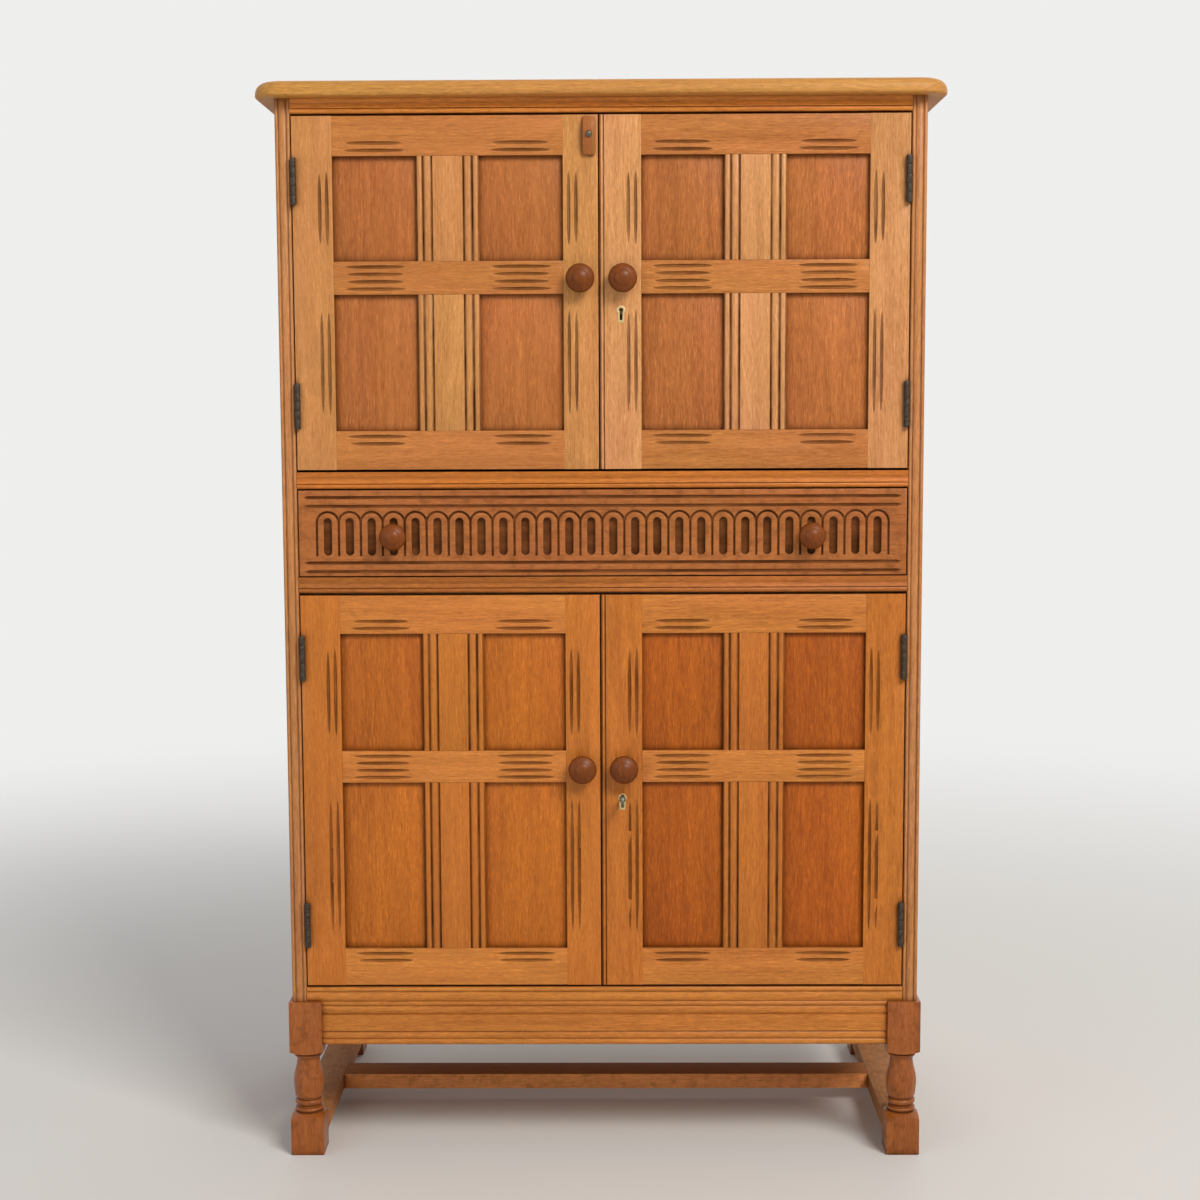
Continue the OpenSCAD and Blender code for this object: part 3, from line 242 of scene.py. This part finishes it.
class Board:
    """Coordinates and noises that follow the grain of a board, which runs along X, Y or Z."""

    def __init__(self, g, along):
        self.g = g
        self.made = {}
        self.coord = g.add("ShaderNodeTexCoord").outputs["Object"]
        self.x, self.y, z = g.split(self.coord)
        order = {"X": (self.y, z, self.x), "Y": (self.x, z, self.y), "Z": (self.x, self.y, z)}
        self.across_a, self.across_b, length = order[along]
        # Each solid has a number, and dice of its own move it to another place in the tree
        piece = g.add("ShaderNodeAttribute", attribute_type="GEOMETRY", attribute_name="piece")
        dice = g.add("ShaderNodeTexWhiteNoise", noise_dimensions="1D")
        g.put(dice.inputs["W"], piece.outputs["Fac"])
        self.dice = g.split(dice.outputs["Color"])
        shift = g.vec("SCALE", dice.outputs["Color"], BOARDS_APART)
        self.a, self.b, self.run = g.split(
            g.vec("ADD", g.combine(self.across_a, self.across_b, length), shift))
        # Slow waves carry the grain to and fro along the board
        wave = g.math("SUBTRACT", g.noise(self.spread(self.a, self.b, *SWAYS), 1.0), 0.5)
        self.wave_a = g.math("ADD", self.a, g.math("MULTIPLY", wave, SWAY_A))
        self.wave_b = g.math("ADD", self.b, g.math("MULTIPLY", wave, SWAY_B))

    def spread(self, a, b, across, along):
        g = self.g
        return g.combine(g.math("MULTIPLY", a, across), g.math("MULTIPLY", b, across),
                         g.math("MULTIPLY", self.run, along))

    def noise(self, kind):
        if kind not in self.made:
            across, along, detail = NOISE[kind]
            place = self.spread(self.wave_a, self.wave_b, across, along)
            self.made[kind] = self.g.noise(place, detail, NOISE_ROUGH)
        return self.made[kind]


def growth_rings(board):
    """Rings round a heart outside the board; a ring darkens slowly, from 0, and ends at once."""
    g = board.g
    away_a = g.math("MULTIPLY", g.math("SUBTRACT", board.dice[0], 0.5), HEART_SPREAD_A)
    away_b = g.math("ADD", g.math("MULTIPLY", board.dice[1], HEART_SPREAD_B), HEART_LEAST_B)
    heart_a = g.math("ADD", board.across_a, away_a)
    heart_b = g.math("ADD", board.across_b, away_b)
    bend = g.noise(board.spread(board.a, board.b, RING_BENDS, SWAYS[1]), 2.0)
    radius = g.math("ADD", g.length(g.combine(heart_a, heart_b, 0.0)), g.math("MULTIPLY", bend, RING_BEND))
    turn = g.math("FRACT", g.math("MULTIPLY", radius, RINGS))
    return g.math("MULTIPLY", turn, g.level(turn, RING_END, 1.0, 1.0, 0.0))


def grain_colour(board, f, tone, ring):
    """The tone with the light and dark of the grain, slow changes of hue, and lighter rays."""
    g = board.g
    ringed = g.math("MULTIPLY", g.math("SUBTRACT", RING_MEAN, ring), f["rings"] * RING_SHADE)
    shade = g.math("ADD", 0.5, ringed)
    for kind, weight in SHADE.items():
        change = g.math("MULTIPLY", g.math("SUBTRACT", board.noise(kind), 0.5), weight * f["grain"])
        shade = g.math("ADD", shade, change)
    whole = g.math("MULTIPLY", g.math("SUBTRACT", board.dice[2], 0.5), BOARD_SHADE)
    shade = g.math("ADD", shade, whole, clamp=True)
    colour = g.mix(shade, scaled(tone, DARKEST), scaled(tone, LIGHTEST))
    colour = g.times(colour, g.mix(g.level(board.noise("hue"), 0.35, 0.65), PINKER, YELLOWER))
    fleck = g.level(board.noise("ray"), 0.56, 0.70, 0.0, f["fleck"])
    return g.mix(fleck, colour, g.times(colour, RAY_LIGHT))


def open_pores(board, ring):
    """Short dark ticks along the grain, denser where a ring starts, and finer pores between them."""
    g = board.g
    ticks = g.math("MULTIPLY", g.level(board.noise("tick"), 0.52, 0.66), g.level(ring, 0.0, 0.7, 1.0, 0.45))
    return g.math("MAXIMUM", ticks, g.level(board.noise("pore"), 0.58, 0.7, 0.0, 0.6))


def carving_stain_and_shade(board, f):
    """Old stain and painted shade that get darker with the depth behind the face, in the carving on the front
    only.
    """
    g = board.g
    depth = g.math("SUBTRACT", board.y, FACE_Y)
    start, full, strength = f["cut"]
    # Painted shade with old stain: the deeper the cut, the darker
    deep_stain_and_shade = g.level(depth, start * MM, full * MM, 0.0, strength, smooth=True)
    if "reeds" in f:
        from_muntin = g.math("ABSOLUTE", g.math("SUBTRACT", g.math("ABSOLUTE", board.x), MUNTIN_X))
        on_muntin = g.level(from_muntin, MUNTIN_HALF, MUNTIN_HALF + 1 * MM, 1.0, 0.0)
        start, full, strength = f["reeds"]
        reeds = g.math("MULTIPLY", g.level(depth, start * MM, full * MM, 0.0, strength), on_muntin)
        on_stile = g.math("MULTIPLY", deep_stain_and_shade, g.math("SUBTRACT", 1.0, on_muntin))
        deep_stain_and_shade = g.math("MAXIMUM", on_stile, reeds)
    return g.math("MULTIPLY", deep_stain_and_shade, g.level(depth, CARVED_TO, CARVED_TO + 0.4 * MM, 1.0, 0.0))


def stain_and_shade(board, f):
    """Dirt, old stain and painted shade in corners, creases and cuts, and painted shade on what faces up or
    turns away, from 0 to 1.
    """
    g = board.g
    patch = g.level(board.noise("patch"), 0.25, 0.75, 0.6, 1.2)
    # Painted shade with real dirt: darker in corners and creases, found by occlusion
    corner = g.level(g.occlusion(CORNER), 0.3, 0.95, 0.8, 0.0)
    crease = g.level(g.occlusion(f["crease"] * MM), 0.3, 0.78, 1.0, 0.0)
    hidden = g.math("MAXIMUM", corner, crease)
    dirt_and_shade = g.math("MULTIPLY", hidden, g.math("MULTIPLY", patch, f["dirt_and_shade"]), clamp=True)
    if "cut" in f:
        dirt_and_shade = g.math("MAXIMUM", dirt_and_shade, g.math("MULTIPLY", carving_stain_and_shade(board, f), patch, clamp=True))
    # Painted shadow on faces that look up, such as the cross stretcher's top in the shade of the cabinet
    if "top" in f:
        upward = g.split(g.add("ShaderNodeNewGeometry").outputs["Normal"])[2]
        dirt_and_shade = g.math("MAXIMUM", dirt_and_shade, g.level(upward, 0.6, 0.9, 0.0, f["top"]))
    # Painted shade on faces that turn away from the front, such as the rims of the knobs
    if "side" in f:
        facing = g.split(g.add("ShaderNodeTexCoord").outputs["Normal"])[1]
        dirt_and_shade = g.math("MAXIMUM", dirt_and_shade, g.level(facing, -0.8, -0.1, 0.0, f["side"], smooth=True))
    if "blotch" in f:
        blotch = g.noise(g.vec("SCALE", board.coord, BLOTCHES), 4.0, 0.65)
        dirt_and_shade = g.math("MAXIMUM", dirt_and_shade, g.level(blotch, 0.5, 0.68, 0.0, f["blotch"]))
    return dirt_and_shade


def rubbed_and_highlit(board, f, colour):
    """The colour with its edges rubbed lighter, here more and there less, which is also a painted highlight."""
    g = board.g
    edge = g.level(g.occlusion(RUB_DEPTH, inside=True), 0.5, 0.15)
    rub = g.math("MULTIPLY", edge, g.level(board.noise("rub"), 0.35, 0.65, 0.25, 1.0))
    return g.mix(g.math("MULTIPLY", rub, f["wear_and_highlight"]), colour, g.times(colour, RUBBED_AND_HIGHLIT))


def wood(name, tone, along, finish):
    """Oak of one mean colour, with its grain along one axis, in the object's own coordinates."""
    f = FINISH[finish]
    material, g, shader = new_material(name)
    board = Board(g, along)
    ring = growth_rings(board)
    ticks = open_pores(board, ring)
    colour = grain_colour(board, f, tone, ring)
    colour = g.mix(g.math("MULTIPLY", ticks, f["pores"]), colour, g.times(colour, PORE_DARK))
    dirt_and_shade = stain_and_shade(board, f)
    # Dirt, old stain and painted shade darken the colour together
    colour = g.mix(dirt_and_shade, colour, STAIN_AND_SHADE)
    # Rubbed edges, painted lighter also as a highlight
    if f["wear_and_highlight"]:
        colour = rubbed_and_highlit(board, f, colour)
    g.put(shader.inputs["Base Color"], colour)

    # Bands, dirt, painted shade and pores are duller, and dirt and painted shade shine least
    band = g.level(board.noise("band"), 0.3, 0.7, f["rough"] - 0.04, f["rough"] + 0.07)
    marks = g.math("MAXIMUM", dirt_and_shade, g.math("MULTIPLY", ticks, 0.3))
    g.put(shader.inputs["Roughness"], g.math("ADD", band, g.math("MULTIPLY", marks, DIRT_AND_SHADE_ROUGHEN)))
    clean = g.math("SUBTRACT", 1.0, g.math("MULTIPLY", dirt_and_shade, DIRT_AND_SHADE_DULL))
    g.put(shader.inputs["Specular IOR Level"], g.math("MULTIPLY", clean, SHINE))
    g.put(shader.inputs["Coat Weight"], g.math("MULTIPLY", clean, f["coat"]))
    shader.inputs["Coat Roughness"].default_value = VARNISH_ROUGH
    streaks = g.math("MULTIPLY", board.noise("streak"), 0.3)
    g.bump(shader, g.math("SUBTRACT", streaks, g.math("MULTIPLY", ticks, 0.5)), *GRAIN_RELIEF)
    return material


# Clouds and pits per metre in the tarnish of the metals
METAL_CLOUDS = 260
METAL_PITS = 1400


def metal(name, colour, worn, rough, metallic=1.0):
    """Tarnished metal: clouds of two colours, small pits and a roughness that follows them."""
    material, g, shader = new_material(name)
    coord = g.add("ShaderNodeTexCoord").outputs["Object"]
    cloud = g.noise(g.vec("SCALE", coord, METAL_CLOUDS), 4.0, 0.6)
    pits = g.noise(g.vec("SCALE", coord, METAL_PITS), 2.0)
    fac = g.level(g.math("ADD", g.math("MULTIPLY", cloud, 0.7), g.math("MULTIPLY", pits, 0.3)), 0.4, 0.62)
    g.put(shader.inputs["Base Color"], g.mix(fac, colour, worn))
    shader.inputs["Metallic"].default_value = metallic
    g.put(shader.inputs["Roughness"], g.level(cloud, 0.3, 0.7, rough, rough + 0.2))
    g.bump(shader, pits, *PIT_RELIEF)
    return material


# The oak differs a little from board to board: pinker above, more orange below, darkest where it was turned.
# A few tones also hold painted light and shade: the upper right uprights are lighter for light from the right,
# the frieze and the cross stretcher are lightened against the shade on them, the lower drawer rail is darker
TONES = {
    "golden": srgb(197, 138, 67),
    "pale": srgb(199, 135, 75),
    # Painted light: lighter, as if lit from the right
    "pale_light": srgb(214, 149, 94),
    "pale_rail": srgb(194, 122, 60),
    "pale_panel": srgb(182, 108, 52),
    "amber": srgb(193, 113, 40),
    "amber_rail": srgb(200, 123, 53),
    "amber_panel": srgb(187, 103, 30),
    "amber_panel_deep": srgb(176, 90, 17),
    # Painted light: lightened against the shadow that the top board casts on the frieze
    "frieze": srgb(236, 146, 60),
    "moulding": srgb(197, 122, 48),
    "bright_moulding": srgb(208, 122, 44),
    # Painted shade: the moulding darker, as if in shade
    "dull_moulding": srgb(178, 103, 39),
    "side": srgb(198, 133, 79),
    "drawer": srgb(172, 101, 48),
    "leg": srgb(159, 89, 35),
    "knob": srgb(124, 62, 8),
    "button": srgb(162, 96, 42),
    # Painted light: lightened against the shade under the cabinet, far above the side stretchers' tone
    "stretcher": srgb(230, 150, 86),
    "side_stretcher": srgb(168, 112, 64),
    "inner": srgb(186, 142, 92),
}
# node: tone, direction of the grain, finish
WOOD = {
    "top_board": ("golden", "X", "board"),
    "frieze_rail": ("frieze", "X", "moulding"),
    "upper_drawer_rail": ("bright_moulding", "X", "moulding"),
    "lower_drawer_rail": ("dull_moulding", "X", "moulding"),
    "bottom_rail": ("moulding", "X", "moulding"),
    "front_apron": ("moulding", "X", "moulding"),
    "side_aprons": ("moulding", "Y", "board"),
    "rear_apron": ("moulding", "X", "board"),
    "side_stiles": ("side", "Z", "stile"),
    "side_rails": ("side", "Y", "board"),
    "side_panels": ("pale_panel", "Z", "panel"),
    "front_legs": ("leg", "Z", "turned"),
    "rear_legs": ("leg", "Z", "turned"),
    "side_stretchers": ("side_stretcher", "Y", "stretcher"),
    "cross_stretcher": ("stretcher", "X", "dusty"),
    "drawer_front": ("drawer", "X", "carved"),
    "drawer_knobs": ("knob", "Z", "knob"),
    "turn_button": ("button", "Z", "board"),
    "shelf_battens": ("inner", "Y", "inner"),
    "drawer_sides": ("inner", "Y", "inner"),
    "back_panel": ("inner", "Z", "inner"),
}
for level, side, upright, rail, panel in (
        ("upper", "left", "pale", "pale_rail", "pale_panel"),
        ("upper", "right", "pale_light", "pale_rail", "pale_panel"),
        ("lower", "left", "amber", "amber_rail", "amber_panel"),
        ("lower", "right", "amber", "amber_rail", "amber_panel_deep")):
    door = level + "_" + side
    WOOD[door + "_uprights"] = (upright, "Z", "frame")
    WOOD[door + "_rails"] = (rail, "X", "rail")
    WOOD[door + "_panels"] = (panel, "Z", "panel")
    WOOD[door + "_knob"] = ("knob", "Z", "knob")
# Every other wooden node is inside: shelves, boards, stops and the like
INSIDE = ("inner", "X", "inner")

METALS = {
    "hinge_metal": metal("dark_bronze", (0.04, 0.031, 0.023), (0.10, 0.078, 0.058), 0.48, metallic=0.7),
    "steel": metal("old_steel", (0.22, 0.19, 0.14), (0.11, 0.09, 0.065), 0.40),
    "brass": metal("old_brass", (0.74, 0.57, 0.30), (0.60, 0.44, 0.20), 0.34),
}
woods = {}


def material_of(name):
    slot = slot_of[name]
    if slot in METALS:
        return METALS[slot]
    key = WOOD.get(name, INSIDE)
    if key not in woods:
        woods[key] = wood("oak_{}_{}_{}".format(*key).lower(), TONES[key[0]], key[1], key[2])
    return woods[key]


# Edges sharper than the first angle stay sharp in the shading, and those sharper than the second are softened
SHARP_FROM = math.radians(30)
SOFTEN_FROM = math.radians(80)
# Radius of the softened edges, by slot
EDGE = {"oak": 0.7 * MM, "oak_panel": 0.3 * MM, "oak_dark": 0.8 * MM, "plain_wood": 0.6 * MM,
        "plywood": 0.4 * MM, "hinge_metal": 0.25 * MM, "steel": 0.3 * MM, "brass": 0.15 * MM}
# Corners closer than this are one corner
WELD = 0.005 * MM
# Numbers kept free for the solids of a node
SOLIDS = 10


def finish_group():
    """Numbers the solids of a node, and shades them smooth apart from their sharp edges."""
    tree = bpy.data.node_groups.new("finish_pieces", "GeometryNodeTree")
    tree.interface.new_socket("Geometry", in_out="INPUT", socket_type="NodeSocketGeometry")
    tree.interface.new_socket("Seed", in_out="INPUT", socket_type="NodeSocketFloat")
    tree.interface.new_socket("Geometry", in_out="OUTPUT", socket_type="NodeSocketGeometry")
    new = tree.nodes.new
    link = tree.links.new
    start, end = new("NodeGroupInput"), new("NodeGroupOutput")
    island = new("GeometryNodeInputMeshIsland")
    number = new("ShaderNodeMath")
    number.operation = "ADD"
    link(island.outputs["Island Index"], number.inputs[0])
    link(start.outputs["Seed"], number.inputs[1])
    store = new("GeometryNodeStoreNamedAttribute")
    store.data_type = "FLOAT"
    store.domain = "POINT"
    store.inputs["Name"].default_value = "piece"
    link(start.outputs["Geometry"], store.inputs["Geometry"])
    link(number.outputs[0], store.inputs["Value"])
    angle = new("GeometryNodeInputMeshEdgeAngle")
    sharp = new("FunctionNodeCompare")
    sharp.data_type = "FLOAT"
    sharp.operation = "GREATER_THAN"
    link(angle.outputs["Unsigned Angle"], sharp.inputs[0])
    sharp.inputs[1].default_value = SHARP_FROM
    flow = store.outputs["Geometry"]
    for domain, smooth in (("FACE", True), ("EDGE", False)):
        node = new("GeometryNodeSetShadeSmooth")
        node.domain = domain
        node.inputs["Shade Smooth"].default_value = smooth
        link(flow, node.inputs["Geometry"])
        if domain == "EDGE":
            link(sharp.outputs["Result"], node.inputs["Selection"])
        flow = node.outputs["Geometry"]
    link(flow, end.inputs["Geometry"])
    return tree


finish_pieces = finish_group()
SEED_SOCKET = next(s.identifier for s in finish_pieces.interface.items_tree if s.name == "Seed")


def dress(name, obj, seed):
    obj.data.materials.clear()
    obj.data.materials.append(material_of(name))
    weld = obj.modifiers.new("weld", "WELD")
    weld.merge_threshold = WELD
    bevel = obj.modifiers.new("edges", "BEVEL")
    bevel.width = EDGE[slot_of[name]]
    bevel.segments = 2
    bevel.limit_method = "ANGLE"
    bevel.angle_limit = SOFTEN_FROM
    bevel.use_clamp_overlap = True
    finish = obj.modifiers.new("finish", "NODES")
    finish.node_group = finish_pieces
    finish[SEED_SOCKET] = float(seed)


for number, name in enumerate(sorted(nodes)):
    dress(name, nodes[name], 1 + number * SOLIDS)

# Stage: a pale floor and backdrop
BACKDROP = (0.86, 0.86, 0.85)
FLOOR = (0.74, 0.73, 0.71)
FLOOR_ROUGH = 0.9
FLOOR_R = 14
FLOOR_SIDES = 96
# Distances from the cabinet between which the floor fades into the backdrop
FADE_FROM, FADE_TO = 0.8, 3.2
# The soft light from all round
SKY = (0.97, 0.98, 1.0)
SKY_STRENGTH = 0.36


def make_floor():
    """A round floor that keeps the cabinet's shadow and fades into the backdrop farther away."""
    material, g, shader = new_material("pale_floor")
    shader.inputs["Base Color"].default_value = (*FLOOR, 1)
    shader.inputs["Roughness"].default_value = FLOOR_ROUGH
    glow = g.add("ShaderNodeEmission")
    glow.inputs["Color"].default_value = (*BACKDROP, 1)
    place = g.split(g.add("ShaderNodeNewGeometry").outputs["Position"])
    far = g.level(g.length(g.combine(place[0], place[1], 0.0)), FADE_FROM, FADE_TO, smooth=True)
    seen = g.add("ShaderNodeLightPath").outputs["Is Camera Ray"]
    g.either(g.math("MULTIPLY", far, seen), shader.outputs[0], glow.outputs[0], "Material Output")
    bpy.ops.mesh.primitive_circle_add(vertices=FLOOR_SIDES, radius=FLOOR_R, fill_type="NGON",
                                      location=(0, 0, 0))
    floor = bpy.context.object
    floor.name = "stage_floor"
    floor.data.materials.append(material)
    return floor


floor = make_floor()


def make_world():
    """Soft light from all round; the camera, mirrors and glass see the plain backdrop in its place."""
    world = bpy.data.worlds.new("studio")
    world.use_nodes = True
    g = Graph(world.node_tree)
    soft = g.nodes["Background"]
    soft.inputs["Color"].default_value = (*SKY, 1)
    soft.inputs["Strength"].default_value = SKY_STRENGTH
    plain = g.add("ShaderNodeBackground")
    plain.inputs["Color"].default_value = (*BACKDROP, 1)
    rays = g.add("ShaderNodeLightPath").outputs
    direct = g.math("MAXIMUM", rays["Is Glossy Ray"], rays["Is Transmission Ray"])
    direct = g.math("MAXIMUM", rays["Is Camera Ray"], direct)
    g.either(direct, soft.outputs[0], plain.outputs[0], "World Output")
    return world


scene.world = make_world()

# Lamps: name, place, size, watts, colour; all shine on the same spot
LAMPS = (
    ("key", (2.4, -3.6, 4.2), (2.2, 1.8), 216, (1.0, 0.96, 0.90)),
    ("fill", (-2.3, -2.6, 1.4), (2.0, 1.8), 12, (0.95, 0.98, 1.0)),
    ("rear", (0.3, 2.8, 2.2), (2.6, 1.8), 26, (1.0, 0.98, 0.95)),
)
LAMP_TARGET = Vector((0, 0, 0.7))


def add_lamp(name, place, size, watts, colour):
    data = bpy.data.lights.new(name, "AREA")
    data.shape = "RECTANGLE"
    data.size, data.size_y = size
    data.energy = watts
    data.color = colour
    obj = bpy.data.objects.new(name, data)
    scene.collection.objects.link(obj)
    obj.location = place
    obj.rotation_euler = (LAMP_TARGET - Vector(place)).to_track_quat("-Z", "Y").to_euler()


for lamp in LAMPS:
    add_lamp(*lamp)

# The camera of the photograph: its focal length and the width of its frame in pixels, its place, and how it
# is turned
FOCAL_PIXELS = 1946.0
FRAME_PIXELS = 1200
SENSOR = 36
CAMERA_AT = (0.0193, FACE_Y - 2.3949, 0.9531)
PITCH, YAW, ROLL = (math.radians(angle) for angle in (5.814, 0.538, -0.238))


def make_camera():
    data = bpy.data.cameras.new("camera")
    data.sensor_width = SENSOR
    data.lens = FOCAL_PIXELS / FRAME_PIXELS * SENSOR
    camera = bpy.data.objects.new("camera", data)
    scene.collection.objects.link(camera)
    right = Vector((math.cos(YAW), math.sin(YAW), 0))
    ahead = Vector((-math.sin(YAW) * math.cos(PITCH), math.cos(YAW) * math.cos(PITCH), -math.sin(PITCH)))
    up = right.cross(ahead)
    rolled_right = right * math.cos(ROLL) + up * math.sin(ROLL)
    rolled_up = up * math.cos(ROLL) - right * math.sin(ROLL)
    turned = Matrix((rolled_right, rolled_up, -ahead)).transposed().to_4x4()
    camera.matrix_world = Matrix.Translation(CAMERA_AT) @ turned
    return camera


scene.camera = make_camera()
scene.view_settings.view_transform = "Standard"
